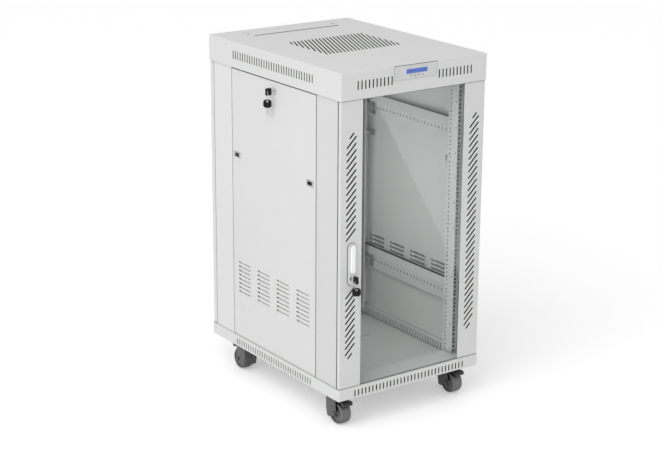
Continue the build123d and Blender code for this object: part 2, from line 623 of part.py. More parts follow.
def latch_plate(end):
    """Surround of a slide latch in the panel window; end is -1 front, +1 rear."""
    def block(x0, x1, half_y, half_z):
        return box(PANEL_X0 + x0, PANEL_X0 + x1, end * LATCH_Y - half_y,
                   end * LATCH_Y + half_y, LATCH_Z - half_z, LATCH_Z + half_z)

    plate = round_rim(block(-1.6, 0, 19.5, 10.5), 1.2, "X", PANEL_X0 - 1.6)
    plate = fuse(plate, block(-0.5, 13.0, 14.6, 7.6))
    track = block(-3, 14, 12.5, 6.2)
    end_slot = block(8, 14, 16, 6.2)
    return cut(plate, track, end_slot)


def side_latch(end):
    """Slide latch with the bolt withdrawn; end is -1 front, +1 rear."""
    def block(x0, x1, y0, y1, half_z=6.0):
        return box(PANEL_X0 + x0, PANEL_X0 + x1, y0, y1, LATCH_Z - half_z, LATCH_Z + half_z)

    centre = end * (LATCH_Y - 3.5)
    tip_y = PANEL_Y0 + 1.5 if end < 0 else PANEL_Y1 - 1.5
    step_y0, step_y1 = end * (LATCH_Y + 4), end * (LATCH_Y + 16)
    tab = block(-3.0, 9.0, centre - 8.5, centre + 8.5)
    tab = round_rim(tab, 1.0, "X", PANEL_X0 - 3.0)
    tab = cut(tab, block(-4, 1.5, centre - 5.5, centre + 5.5, 4.0))
    bar = block(9.0, 12.5, centre - end * 8.5, step_y1)
    # the bolt runs behind the turned edge of the panel and of the post
    step = block(12.5, 19.5, step_y0, step_y1)
    bolt = block(16.5, 19.5, step_y0, tip_y)
    return fuse(tab, bar, step, bolt)


def side_lock():
    """Barrel with a square end, and the cam on that square."""
    square = box(-6, 6, -6, 6, -23, -19)
    cam = cut(box(-8, 44, -7, 7, -22.0, -19.2), square)
    barrel = cut(lock_barrel(22.0, LOCK_FLANGE_R, LOCK_FLANGE_T),
                 cut(box(-9, 9, -9, 9, -22.1, -19.2), square))
    return placed([barrel, cam], (PANEL_X0, SIDE_LOCK_Y, SIDE_LOCK_Z), *SIDE_LOCK_AXES)


# ---------------------------------------------------------------- fans
FAN_X = 75.0
FAN_Z, FAN_HEIGHT = 1186.5, 38.0
FAN_HALF = 59.5
FAN_SCREW = 52.5
TRAY_X, TRAY_Y = 165.0, 85.0


def fan_tray():
    tray = box(-TRAY_X, TRAY_X, -TRAY_Y, TRAY_Y, FAN_Z - SHEET, FAN_Z)
    tray = cut(tray, [cylinder(56.5, 6, (x, 0, FAN_Z - 3)) for x in (-FAN_X, FAN_X)])
    wall_x = TRAY_X - SHEET
    walls = [box(s * wall_x, s * TRAY_X, -TRAY_Y, TRAY_Y, FAN_Z - SHEET, ROOF_UNDER)
             for s in (-1, 1)]
    flanges = [box(s * wall_x, s * (TRAY_X + 20), -TRAY_Y, TRAY_Y, ROOF_UNDER - SHEET,
                   ROOF_UNDER) for s in (-1, 1)]
    return fuse(tray, walls, flanges)


def fan_frame(fan_x):
    """Square frame with crossed struts carrying the hub and shaft."""
    frame = round_uprights(box(fan_x - FAN_HALF, fan_x + FAN_HALF, -FAN_HALF, FAN_HALF,
                               FAN_Z, FAN_Z + FAN_HEIGHT), 6.0)
    frame = cut(frame, cylinder(57.0, FAN_HEIGHT + 2, (fan_x, 0, FAN_Z - 1)))
    for dx in (-FAN_SCREW, FAN_SCREW):
        for y in (-FAN_SCREW, FAN_SCREW):
            frame = cut(frame, cylinder(2.2, FAN_HEIGHT + 2, (fan_x + dx, y, FAN_Z - 1)))
    hub = cylinder(19.0, 4.0, (fan_x, 0, FAN_Z))
    struts = [box(-58.0, 58.0, -2.0, 2.0, 0, 3.5)
              .moved(Location((fan_x, 0, FAN_Z), (0, 0, 1), angle)) for angle in (45, 135)]
    shaft = cylinder(2.5, 22, (fan_x, 0, FAN_Z + 3))
    return fuse(frame, hub, struts, shaft)


def fan_rotor(fan_x, blade_count=7, blade_pitch=52):
    rotor = cut(cylinder(20.0, 26.0, (fan_x, 0, FAN_Z + 6.0)),
                cylinder(2.55, 30, (fan_x, 0, FAN_Z + 4.0)))
    blades = []
    for i in range(blade_count):
        blade = Solid.make_box(37.0, 2.0, 30.0, Plane(origin=(17.5, -1.0, -15.0)))
        blade = blade.moved(Location((0, 0, 0), (1, 0, 0), blade_pitch))
        blades.append(blade.moved(
            Location((fan_x, 0, FAN_Z + 19.0), (0, 0, 1), i * 360 / blade_count)))
    return fuse(rotor, blades)


# ---------------------------------------------------------------- fan controller
BEZEL_Y0, BEZEL_Y1 = -400.4, -397.4
DISPLAY_X, DISPLAY_Z = 3.5, BASE_Z + 1094.2
DISPLAY_WIDTH, DISPLAY_HEIGHT = 87.0, 15.6
BUTTON_X = [-21.0, -4.5, 12.0, 28.5]
BUTTON_Z = BASE_Z + 1079.5
BOARD_Y0, BOARD_Y1 = -392.6, -391.0
BOARD_SCREWS = [(x, z) for x in (-55, 55) for z in (WINDOW_Z0 + 9, WINDOW_Z1 - 8)]


def display_box(y0, y1, gap=0.0):
    dx, dz = DISPLAY_WIDTH / 2 - gap, DISPLAY_HEIGHT / 2 - gap
    return box(DISPLAY_X - dx, DISPLAY_X + dx, y0, y1, DISPLAY_Z - dz, DISPLAY_Z + dz)


def lcd_bezel():
    bezel = box(-WINDOW_X + 0.4, WINDOW_X - 0.4, BEZEL_Y0, BEZEL_Y1,
                WINDOW_Z0 + 0.4, WINDOW_Z1 - 0.4)
    bezel = round_rim(bezel, 0.8, "Y", BEZEL_Y0)
    bezel = cut(bezel, display_box(BEZEL_Y0 - 1, BEZEL_Y1 + 1),
                [cylinder(2.7, 8, (x, BEZEL_Y0 - 2, BUTTON_Z), (0, 1, 0)) for x in BUTTON_X])
    # flange behind the front wall of the cap
    flange = cut(box(-WINDOW_X - 4, WINDOW_X + 4, -398.4, BEZEL_Y1,
                     WINDOW_Z0 - 4, ROOF_UNDER - 0.1),
                 box(-WINDOW_X + 2, WINDOW_X - 2, -399, BEZEL_Y1 + 1,
                     WINDOW_Z0 + 2, WINDOW_Z1 - 2))
    return fuse(bezel, flange)


def controller_board():
    board = box(-60, 60, BOARD_Y0, BOARD_Y1, WINDOW_Z0 + 4, WINDOW_Z1 - 3)
    board = cut(board, [cylinder(1.6, 4, (x, BOARD_Y0 - 1, z), (0, 1, 0))
                        for x, z in BOARD_SCREWS])
    standoffs = [cylinder(2.5, BOARD_Y0 - BEZEL_Y1, (x, BEZEL_Y1, z), (0, 1, 0))
                 for x, z in BOARD_SCREWS]
    return [board, standoffs]


def button(x):
    return fuse(cylinder(2.64, 4.6, (x, BEZEL_Y0 - 0.9, BUTTON_Z), (0, 1, 0)),
                cylinder(3.6, 0.8, (x, BEZEL_Y1 + 0.35, BUTTON_Z), (0, 1, 0)))


# ---------------------------------------------------------------- casters
# Local frame: swivel axis on z, top of the plate at z = 0, wheel trailing towards -Y.
WHEEL_R, TRAIL = 37.5, 25.0
AXLE_Y, AXLE_Z = -TRAIL, -(CASTER_HEIGHT - WHEEL_R)
LEG_IN, LEG_OUT = 24.2, 26.8                         # inner and outer x of the fork legs
CROWN_Z0, CROWN_Z1 = -10.4, -7.4
PEDAL_Y, PEDAL_Z = -20.0, -21.0                      # pedal cross pin
PEDAL_WIDTH = 37.0

# y, z round a fork leg
LEG_OUTLINE = [
    (22, CROWN_Z1), (22, -60), (14.5, -90.5), (2, -92), (-16, -83.5), (-25, -86),
    (-36, -77), (-37, -66), (-33, -46), (-31, -24), (-31, CROWN_Z1),
]
# y, z round the strip that joins the legs on the +Y side
HOOD_OUTLINE = [(22, CROWN_Z1), (22, -60), (14.5, -90.5), (12.4, -90), (19.8, -59.8),
                (19.8, CROWN_Z1)]
# radius, half width: from the bore out to the tread
WHEEL_PROFILE = [(4.06, 23.0), (12.5, 23.0), (15.0, 16.5), (30.0, 16.5), (31.8, 20.5),
                 (34.0, 20.5), (36.8, 17.5), (WHEEL_R, 13.5)]
# distance from the cross pin along the pedal, distance below its axis
PEDAL_OUTLINE = [
    (0, -4.2), (33, -4.2), (38, -8.5), (47, -9.0), (51, -6.0), (52, -1.0), (50, 4.0),
    (45, 6.0), (40, 4.0), (36, 0.2), (24, 0.2), (22, 5.0), (10, 5.0), (3, 3.5),
]
PEDAL_RUN = (-58.0, -17.0)                           # y, z direction of the pedal


def caster_plate():
    plate = round_uprights(box(-32, 32, -46, 46, -CASTER_PLATE, 0), 6.0)
    plate = cut(plate, [cylinder(CASTER_BOLT_HOLE_R, 6, (x, y, -5)) for x, y in CASTER_BOLTS])
    cup = cylinder(24.0, 4.0, (0, 0, -7.0))
    kingpin = fuse(cylinder(5.0, 8.0, (0, 0, -14.0)), cylinder(8.5, 3.0, (0, 0, -14.2)))
    return fuse(plate, cup, kingpin)


def caster_fork():
    """Fork with the axle and the cross pin of the pedal."""
    bore = cylinder(5.06, 8, (0, 0, -14))
    crown = cut(cylinder(26.0, CROWN_Z1 - CROWN_Z0, (0, 0, CROWN_Z0)), bore)
    # the deck is open above the wheel, between its two side strips
    opening = cut(box(-30, 30, -31, -12, -20, 0),
                  box(-26.9, -LEG_IN, -40, 0, -30, 5), box(LEG_IN, 26.9, -40, 0, -30, 5))
    deck = cut(box(-LEG_OUT, LEG_OUT, -30, 22, CROWN_Z0, CROWN_Z1), bore, opening)
    legs = [prism(polygon(LEG_OUTLINE),
                  [circle(AXLE_Y, AXLE_Z, 4.05), circle(PEDAL_Y, PEDAL_Z, 2.53)],
                  LEG_OUT - LEG_IN, on_yz(x)) for x in (-LEG_OUT, LEG_IN)]
    hood = prism(polygon(HOOD_OUTLINE), [], 2 * LEG_OUT, on_yz(-LEG_OUT))
    fork = fuse(crown, deck, legs, hood)
    axle = fuse(cylinder(4.0, 58.0, (-29.0, AXLE_Y, AXLE_Z), (1, 0, 0)),
                cylinder(7.5, 4.0, (-LEG_OUT - 4.0, AXLE_Y, AXLE_Z), (1, 0, 0)),
                cylinder(7.5, 4.0, (LEG_OUT, AXLE_Y, AXLE_Z), (1, 0, 0)))
    cross_pin = cylinder(2.5, 2 * LEG_OUT, (-LEG_OUT, PEDAL_Y, PEDAL_Z), (1, 0, 0))
    return [fork, axle, cross_pin]


def caster_wheel():
    profile = [(r, -x) for r, x in WHEEL_PROFILE] + WHEEL_PROFILE[::-1]
    wire = Wire.make_polygon([Vector(x, AXLE_Y + r, AXLE_Z) for r, x in profile], close=True)
    return Solid.revolve(Face(wire), 360, Axis((0, AXLE_Y, AXLE_Z), (1, 0, 0)))


def caster_pedal():
    """Brake pedal sloping down past the wheel, with a barrel on the cross pin."""
    length = hypot(*PEDAL_RUN)
    uy, uz = PEDAL_RUN[0] / length, PEDAL_RUN[1] / length
    outline = [(PEDAL_Y + along * uy - below * uz, PEDAL_Z + along * uz + below * uy)
               for along, below in PEDAL_OUTLINE]
    pedal = prism(polygon(outline), [], PEDAL_WIDTH, on_yz(-PEDAL_WIDTH / 2))
    barrel = cylinder(5.2, PEDAL_WIDTH, (-PEDAL_WIDTH / 2, PEDAL_Y, PEDAL_Z), (1, 0, 0))
    return cut(fuse(pedal, barrel), cylinder(2.56, 60, (-30, PEDAL_Y, PEDAL_Z), (1, 0, 0)))


def place_caster(shape, x, y, side):
    location = Location((x, y, BASE_Z), (0, 0, 1), 0 if side > 0 else 180)
    return [solid.moved(location) for solid in solids_of(shape)]


# ---------------------------------------------------------------- fasteners
def hex_bolt(radius, across_flats, length, origin, direction, head_height=4.0):
    """Shank from origin along direction, head behind origin."""
    corner = across_flats / 3 ** 0.5
    hexagon = polygon([(corner * cos(radians(60 * i)), corner * sin(radians(60 * i)))
                       for i in range(6)])
    head = Solid.extrude(Face(hexagon), Vector(0, 0, -head_height))
    bolt = fuse(head, Solid.make_cylinder(radius, length, Plane.XY))
    location = Plane(origin=origin, z_dir=direction).location
    return [solid.moved(location) for solid in solids_of(bolt)]


def frame_fasteners():
    fasteners = []
    for x, y, _ in CASTERS.values():
        for dx, dy in CASTER_BOLTS:
            fasteners.append(
                hex_bolt(4.0, 13.0, 4.5, (x + dx, y + dy, BASE_Z - CASTER_PLATE), (0, 0, 1)))
    for x in (-ROOF_SCREW_X, ROOF_SCREW_X):          # slotted, heads just below the roof
        y = ROOF_SCREW_Y
        screw = fuse(cylinder(2.4, 8.0, (x, y, CAP_TOP - 9.4)),
                     cylinder(4.5, 1.3, (x, y, CAP_TOP - 1.4)))
        fasteners.append(
            cut(screw, box(x - 3.2, x + 3.2, y - 0.5, y + 0.5, CAP_TOP - 0.9, CAP_TOP)))
    for x in (-FLOOR_SCREW_X, FLOOR_SCREW_X):
        fasteners.append(fuse(cylinder(2.4, FLOOR_COVER_T, (x, CABLE_Y, FLOOR_TOP)),
                              cylinder(4.5, 2.0, (x, CABLE_Y, FLOOR_TOP + FLOOR_COVER_T))))
    for z0, _ in MEMBER_SPANS:                       # at the rail brackets
        for face_y, inward in (FRONT_RAIL, REAR_RAIL):
            for dz in (16, 40):
                for s in (-1, 1):
                    origin = (s * (MEMBER_X - 2), face_y + inward * 59, z0 + dz)
                    fasteners.append(hex_bolt(3.0, 10.0, 1.9, origin, (s, 0, 0)))
    return fasteners


# ---------------------------------------------------------------- assembly
brackets = [rail_bracket(z0, *ends) for z0, _ in MEMBER_SPANS for ends in (FRONT_RAIL, REAR_RAIL)]
door_key, door_spare_key = key_set((HANDLE_X, PLATE_FRONT - FRONT_FLANGE_T, LOCK_Z),
                                   *FRONT_LOCK_AXES, heading=0.0, turn=1)
left_key, left_spare_key = key_set((PANEL_X0 - LOCK_FLANGE_T, SIDE_LOCK_Y, SIDE_LOCK_Z),
                                   *SIDE_LOCK_AXES, heading=90.0, turn=-1)
parts = {
    "base_tray": base_tray(),
    "top_cover": top_cover(),
    "front_posts": both_sides(post(FRONT_POST_Y, OPENING_Y[0], 1)),
    "rear_posts": both_sides(post(REAR_POST_Y, OPENING_Y[1], -1)),
    "depth_members": both_sides([depth_member(*span) for span in MEMBER_SPANS]),
    "front_rails": both_sides(rail(*FRONT_RAIL)),
    "rear_rails": both_sides(rail(*REAR_RAIL)),
    "rail_brackets": both_sides(brackets),
    "cable_covers": [roof_cable_cover(), floor_cable_cover()],
    "hinge_pins": hinge_pins(),
    "door_left_stile": left_stile(),
    "door_right_stile": right_stile(),
    "door_glass": door_glass(),
    "door_seals": both_sides(door_seal()),
    "handle_escutcheon": handle_escutcheon(),
    "handle_spindle": handle_spindle(),
    "latch_cam": latch_cam(),
    "handle_lever": handle_lever(),
    "door_lock_cylinder": door_lock(),
    "door_key": door_key,
    "door_spare_key": door_spare_key,
    "rear_door": rear_door(),
    "rear_lock_cylinder": rear_lock(),
    "left_key": left_key,
    "left_spare_key": left_spare_key,
    "fan_tray": fan_tray(),
    "fan_frames": [fan_frame(-FAN_X), fan_frame(FAN_X)],
    "fan_rotor_left": fan_rotor(-FAN_X),
    "fan_rotor_right": fan_rotor(FAN_X),
    "lcd_bezel": lcd_bezel(),
    "lcd_display": display_box(BEZEL_Y0 + 0.6, BEZEL_Y0 + 4.6, gap=0.1),
    "controller_board": controller_board(),
    "frame_fasteners": frame_fasteners(),
}
for number, x in enumerate(BUTTON_X, 1):
    parts[f"button_{number}"] = button(x)

side_parts = {
    "panel": side_panel(),
    "latch_plates": [latch_plate(-1), latch_plate(1)],
    "latch_front": side_latch(-1),
    "latch_rear": side_latch(1),
    "lock_cylinder": side_lock(),
}
for name, shape in side_parts.items():
    parts["left_" + name] = shape
    parts["right_" + name] = mirror_x(shape)

moving_caster_parts = {"fork": caster_fork(), "wheel": caster_wheel(), "pedal": caster_pedal()}
for corner, place in CASTERS.items():
    for name, shape in moving_caster_parts.items():
        parts[f"caster_{name}_{corner}"] = place_caster(shape, *place)
plate = caster_plate()
parts["caster_plates"] = [place_caster(plate, *place) for place in CASTERS.values()]

# one STEP file per part
os.makedirs("parts", exist_ok=True)
for name, shape in parts.items():
    solids = solids_of(shape)
    node = solids[0] if len(solids) == 1 else Compound(children=solids)
    node.label = name
    export_step(node, "parts/" + name + ".step")
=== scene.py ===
# Looks of an equipment cabinet on casters: procedural finishes with painted shade in their
# corners, a painted reflection on the glass, louvre blades, sheets and strips of painted shade
# behind slots and in gaps, gaskets and brushes, then a floor, lights and a camera.
# The front faces -Y, the left side is at -X, Z is up and the floor is near z = 0.
# Materials and stage are in metres, the added pieces in millimetres.
import bpy
import bmesh
import math
from mathutils import Vector, Matrix

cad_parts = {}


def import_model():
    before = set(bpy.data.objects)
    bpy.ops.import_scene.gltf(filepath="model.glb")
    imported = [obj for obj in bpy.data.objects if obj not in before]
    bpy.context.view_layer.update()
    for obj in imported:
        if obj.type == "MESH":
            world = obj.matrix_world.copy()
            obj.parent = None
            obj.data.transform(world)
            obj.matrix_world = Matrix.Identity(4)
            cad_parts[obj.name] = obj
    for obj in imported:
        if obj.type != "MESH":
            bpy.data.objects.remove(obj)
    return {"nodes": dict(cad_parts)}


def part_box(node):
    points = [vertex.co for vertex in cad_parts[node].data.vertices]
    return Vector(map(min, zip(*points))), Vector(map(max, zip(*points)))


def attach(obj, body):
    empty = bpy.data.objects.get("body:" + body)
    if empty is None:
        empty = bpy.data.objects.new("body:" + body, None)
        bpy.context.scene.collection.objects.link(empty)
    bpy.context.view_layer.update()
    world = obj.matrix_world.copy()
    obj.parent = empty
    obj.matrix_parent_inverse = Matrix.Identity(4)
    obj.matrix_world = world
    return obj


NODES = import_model()["nodes"]
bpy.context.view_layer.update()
scene = bpy.context.scene
SIDES = (-1, 1)


def around(centre, half):
    """the range reaching half to either side of centre"""
    return (centre - half, centre + half)


# ------------------------------------------------------------------ node helpers
MATERIALS = {}
NOISE_SPAN = (0.3, 0.7)  # the part of a noise value that carries its variation
UNIT = (0, 1)


def shade(color, factor, lift=0.0):
    return [min(1.0, c * factor + lift) for c in color]


class Tree:
    """Short spellings for the nodes of one material or world."""

    def __init__(self, owner, output="ShaderNodeOutputMaterial"):
        owner.use_nodes = True
        self.tree = owner.node_tree
        self.tree.nodes.clear()
        self.out = self.tree.nodes.new(output)

    def add(self, kind, settings=None, numbered=None, **named):
        """new node: settings are properties, numbered and named are inputs"""
        node = self.tree.nodes.new(kind)
        for key, value in (settings or {}).items():
            setattr(node, key, value)
        for index, value in (numbered or {}).items():
            self.put(node, index, value)
        for key, value in named.items():
            self.put(node, key.replace("_", " "), value)
        return node

    def put(self, node, key, value):
        """link a socket into an input, or set a plain value"""
        if isinstance(value, bpy.types.NodeSocket):
            self.tree.links.new(value, node.inputs[key])
        else:
            node.inputs[key].default_value = value

    def coords(self):
        place = self.add("ShaderNodeTexCoord").outputs["Object"]
        return self.add("ShaderNodeMapping", Vector=place).outputs[0]

    def axes(self, output="Object"):
        place = self.add("ShaderNodeTexCoord").outputs[output]
        return self.add("ShaderNodeSeparateXYZ", Vector=place).outputs

    def noise(self, scale, detail=2.0, roughness=0.5):
        return self.add("ShaderNodeTexNoise", Vector=self.coords(), Scale=scale,
                        Detail=detail, Roughness=roughness).outputs["Fac"]

    def remap(self, value, source=NOISE_SPAN, target=UNIT):
        node = self.add("ShaderNodeMapRange")
        for index, number in enumerate((0, *source, *target)):
            node.inputs[index].default_value = number
        self.put(node, 0, value)
        return node.outputs[0]

    def mix(self, factor, first, second):
        first, second = (c if isinstance(c, bpy.types.NodeSocket) else (*c, 1.0)
                         for c in (first, second))
        return self.add("ShaderNodeMix", {"data_type": "RGBA"},
                        {0: factor, 6: first, 7: second}).outputs[2]

    def tone(self, noise, dark, light):
        """colour drifting between two tones with a noise"""
        return self.mix(self.remap(noise), dark, light)

    def mix_shader(self, factor, first, second):
        return self.add("ShaderNodeMixShader", None,
                        {0: factor, 1: first, 2: second}).outputs[0]

    def math(self, operation, first, second=0.0):
        return self.add("ShaderNodeMath", {"operation": operation},
                        {0: first, 1: second}).outputs[0]

    def average(self, first, second):
        return self.math("ADD", self.math("MULTIPLY", first, 0.5),
                         self.math("MULTIPLY", second, 0.5))

    def between(self, value, low, high):
        return self.math("MULTIPLY", self.math("GREATER_THAN", value, low),
                         self.math("LESS_THAN", value, high))

    def within(self, axes, limits, mask=None):
        """1 inside a box of (low, high) per axis, None for an open side; narrows mask"""
        for axis, (low, high) in zip(axes, limits):
            for operation, limit in (("GREATER_THAN", low), ("LESS_THAN", high)):
                if limit is None:
                    continue
                test = self.math(operation, axis, limit)
                mask = test if mask is None else self.math("MULTIPLY", mask, test)
        return mask

    def bump(self, height, strength, distance):
        return self.add("ShaderNodeBump", Strength=strength, Distance=distance,
                        Height=height).outputs[0]

    def occlusion(self, reach):
        return self.add("ShaderNodeAmbientOcclusion", {"samples": 6},
                        Distance=reach).outputs["AO"]

    def painted_corner_shade(self, base, color, reach):
        """painted shade: darker in corners and in gaps narrower than reach, from an occlusion node
        """
        if not reach:
            return base
        openness = self.remap(self.occlusion(reach), (0.30, 0.85))
        return self.mix(openness, shade(color, 0.10), base)

    def principled(self, **named):
        return self.add("ShaderNodeBsdfPrincipled", **named).outputs[0]

    def surface(self, socket):
        self.tree.links.new(socket, self.out.inputs["Surface"])


def new_material(name):
    """empty material, kept in MATERIALS under the name asked for"""
    MATERIALS[name] = bpy.data.materials.new(name)
    return Tree(MATERIALS[name])


# ------------------------------------------------------------------ kinds of finish
def powder(name, color, roughness=0.46, grain=0.035, reach=0.011, corner=0.42, full=0.92,
           core=None):
    """Powder coat with fine orange peel and a faint drift of tone.

    Painted shade: corners and gaps within reach darken to corner times the colour; full is
    the occlusion value that counts as open. Inside core (half x, y range, z range) no shade is
    painted.
    """
    tree = new_material(name)
    drift = tree.noise(scale=2.2, detail=3.0, roughness=0.55)
    fine = tree.noise(scale=1100.0, detail=2.0, roughness=0.6)
    peel = tree.noise(scale=260.0, detail=3.0, roughness=0.55)
    tone_shift = 0.010
    base = tree.tone(drift, shade(color, 1, -tone_shift), shade(color, 1, tone_shift))
    speckle = tree.remap(fine, source=(0.35, 0.65), target=(0, 0.10))
    base = tree.mix(speckle, base, shade(color, 0.93))
    # painted shade from an occlusion node
    lit = tree.remap(tree.occlusion(reach), source=(0.30, full))
    if core:
        half_x, y_range, z_range = core
        axes = tree.axes()
        mask = tree.math("LESS_THAN", tree.math("ABSOLUTE", axes[0]), half_x)
        mask = tree.within(axes, [(None, None), y_range, z_range], mask)
        lit = tree.math("MAXIMUM", lit, mask)
    base = tree.mix(lit, shade(color, corner), base)
    gloss = tree.remap(peel, target=(roughness - 0.05, roughness + 0.06))
    relief = tree.bump(tree.average(fine, peel), strength=grain, distance=0.0004)
    tree.surface(tree.principled(Base_Color=base, Roughness=gloss, Normal=relief,
                                 Specular_IOR_Level=0.42))


def metal(name, color, roughness=0.32, grain=0.08, metallic=1.0, spangle=0.0, reach=0.0):
    """Bare or plated metal; spangle is the strength of bright zinc crystals."""
    tree = new_material(name)
    fine = tree.noise(scale=900.0, detail=3.0, roughness=0.6)
    cloud = tree.noise(scale=38.0, detail=4.0, roughness=0.6)
    base = tree.tone(cloud, shade(color, 0.90), shade(color, 1.06))
    if spangle:
        cells = tree.add("ShaderNodeTexVoronoi", Scale=160.0, Vector=tree.coords())
        level = tree.add("ShaderNodeSeparateColor", Color=cells.outputs["Color"]).outputs[0]
        base = tree.mix(tree.math("MULTIPLY", level, spangle), base, shade(color, 1.25))
    # painted shade in corners and gaps within reach
    base = tree.painted_corner_shade(base, color, reach)
    gloss = tree.remap(tree.average(fine, cloud), target=(roughness - 0.08, roughness + 0.1))
    relief = tree.bump(fine, strength=grain, distance=0.0003)
    tree.surface(tree.principled(Base_Color=base, Roughness=gloss, Metallic=metallic,
                                 Normal=relief))


def plastic(name, color, roughness=0.4, grain=0.12, scale=1300.0, vary=0.06, specular=0.5,
            reach=0.0):
    """Plastic, rubber or foam; scale is that of the grain, vary the drift of tone."""
    tree = new_material(name)
    fine = tree.noise(scale=scale, detail=2.0, roughness=0.6)
    cloud = tree.noise(scale=30.0, detail=3.0, roughness=0.55)
    base = tree.tone(cloud, shade(color, 1 - vary), shade(color, 1 + vary, lift=0.004))
    # painted shade in corners and gaps within reach
    base = tree.painted_corner_shade(base, color, reach)
    gloss = tree.remap(cloud, target=(roughness - 0.06, roughness + 0.08))
    relief = tree.bump(fine, strength=grain, distance=0.0003)
    tree.surface(tree.principled(Base_Color=base, Roughness=gloss, Normal=relief,
                                 Specular_IOR_Level=specular))


def two_tone(name, box, inner, outer, inner_roughness=0.34, outer_roughness=0.22):
    """Dull inner colour inside a box in the object's own frame, plated metal elsewhere."""
    tree = new_material(name)
    mask = tree.within(tree.axes(), box)
    fine = tree.noise(scale=1200.0, detail=2.0, roughness=0.6)
    cloud = tree.noise(scale=60.0, detail=3.0, roughness=0.55)
    dull = tree.tone(cloud, shade(inner, 0.9), shade(inner, 1.1))
    plated = tree.tone(cloud, shade(outer, 0.9), shade(outer, 1.05))
    base = tree.mix(mask, plated, dull)
    metallic = tree.remap(mask, source=UNIT, target=(1.0, 0.0))
    gloss = tree.math("ADD", tree.remap(mask, UNIT, (outer_roughness, inner_roughness)),
                      tree.math("MULTIPLY", cloud, 0.06))
    relief = tree.bump(fine, strength=0.08, distance=0.0003)
    tree.surface(tree.principled(Base_Color=base, Roughness=gloss, Metallic=metallic,
                                 Normal=relief, Specular_IOR_Level=0.22))


def glass():
    """Clear pane with a Fresnel mirror and a painted reflection: a faint bright band past a
    slanting line.
    """
    tree = new_material("tinted_glass")
    x, _, z = tree.axes()
    # signed distance from the slanting line, its ends given in x, z
    (top_x, top_z), (foot_x, foot_z) = (-0.162, 1.1158), (0.1442, 0.5704)
    run, rise = foot_x - top_x, foot_z - top_z
    length = math.hypot(run, rise)
    offset = tree.math(
        "ADD", tree.math("MULTIPLY", tree.math("SUBTRACT", x, top_x), -rise / length),
        tree.math("MULTIPLY", tree.math("SUBTRACT", z, top_z), run / length))
    # painted reflection: bright past the slanting line, fading further on
    band = tree.remap(offset, source=(-0.002, 0.012), target=(0.0, 1.0))
    fade = tree.remap(offset, source=(0.0, 0.34), target=(1.0, 0.25))
    band_strength = 0.13
    painted_sheen = tree.math("MULTIPLY", tree.math("MULTIPLY", band, fade), band_strength)
    smudge = tree.noise(scale=7.0, detail=4.0, roughness=0.6)
    tint = tree.tone(smudge, (0.938, 0.943, 0.942), (0.951, 0.955, 0.954))
    clear = tree.add("ShaderNodeBsdfTransparent", Color=tint)
    gloss = tree.add("ShaderNodeBsdfGlossy", Color=(1, 1, 1, 1),
                     Roughness=tree.remap(smudge, target=(0.02, 0.05)))
    fresnel = tree.add("ShaderNodeFresnel", IOR=1.48)
    # the mirror and the painted reflection show on outward faces only
    backfacing = tree.add("ShaderNodeNewGeometry").outputs["Backfacing"]
    outward = tree.math("SUBTRACT", 1.0, backfacing)
    mirror_strength = 0.75
    mirror = tree.math("MULTIPLY", fresnel.outputs[0], mirror_strength)
    mirror = tree.math("MULTIPLY", mirror, outward)
    painted_sheen = tree.math("MULTIPLY", painted_sheen, outward)
    pane = tree.mix_shader(mirror, clear.outputs[0], gloss.outputs[0])
    # painted reflection: a white diffuse layer over the pane
    painted_reflection = tree.add("ShaderNodeBsdfDiffuse", Color=(0.93, 0.94, 0.94, 1))
    pane = tree.mix_shader(painted_sheen, pane, painted_reflection.outputs[0])
    # faces turned away from the y axis are the ground edges, in green-grey
    normal_y = tree.axes("Normal")[1]
    rim = tree.math("LESS_THAN", tree.math("ABSOLUTE", normal_y), 0.5)
    body = tree.tone(smudge, (0.28, 0.34, 0.325), (0.33, 0.39, 0.375))
    edge = tree.principled(Base_Color=body, Roughness=0.22)
    tree.surface(tree.mix_shader(rim, pane, edge))


def display():
    """Backlit blue window with two groups of dark block digits."""
    tree = new_material("display_blue")
    place = tree.add("ShaderNodeTexCoord").outputs["Object"]
    axes = tree.add("ShaderNodeSeparateXYZ", Vector=place).outputs
    low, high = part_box("lcd_display")

    def fraction(axis, start, end):
        return tree.math("DIVIDE", tree.math("SUBTRACT", axis, start), end - start)

    across = fraction(axes[0], low.x, high.x)
    up = fraction(axes[2], low.z, high.z)

    def off_centre():
        return tree.math("ABSOLUTE", tree.math("SUBTRACT", across, 0.5))

    # limits are fractions of a digit cell (12 cells) or of the window height
    cell = tree.math("FRACT", tree.math("MULTIPLY", across, 12.0))
    digit = tree.between(cell, 0.22, 0.80)
    row = tree.between(up, 0.34, 0.70)
    from_middle = tree.math("ABSOLUTE", tree.math("SUBTRACT", up, 0.52))
    hole = tree.math("MULTIPLY", tree.between(cell, 0.38, 0.64),
                     tree.between(from_middle, 0.04, 0.13))
    gap = tree.math("GREATER_THAN", off_centre(), 0.05)
    margin = tree.math("LESS_THAN", off_centre(), 0.43)
    mark = tree.math("MULTIPLY", tree.math("MULTIPLY", digit, row),
                     tree.math("MULTIPLY", gap, margin))
    mark = tree.math("MULTIPLY", mark, tree.math("SUBTRACT", 1.0, hole))
    glow = tree.add("ShaderNodeTexNoise", Vector=place, Scale=30.0).outputs["Fac"]
    blue = tree.tone(glow, (0.085, 0.155, 0.50), (0.105, 0.19, 0.58))
    mark_strength = 0.75
    color = tree.mix(tree.math("MULTIPLY", mark, mark_strength), blue, (0.03, 0.055, 0.17))
    tree.surface(tree.principled(Base_Color=color, Roughness=0.16, Emission_Color=color,
                                 Emission_Strength=0.12))


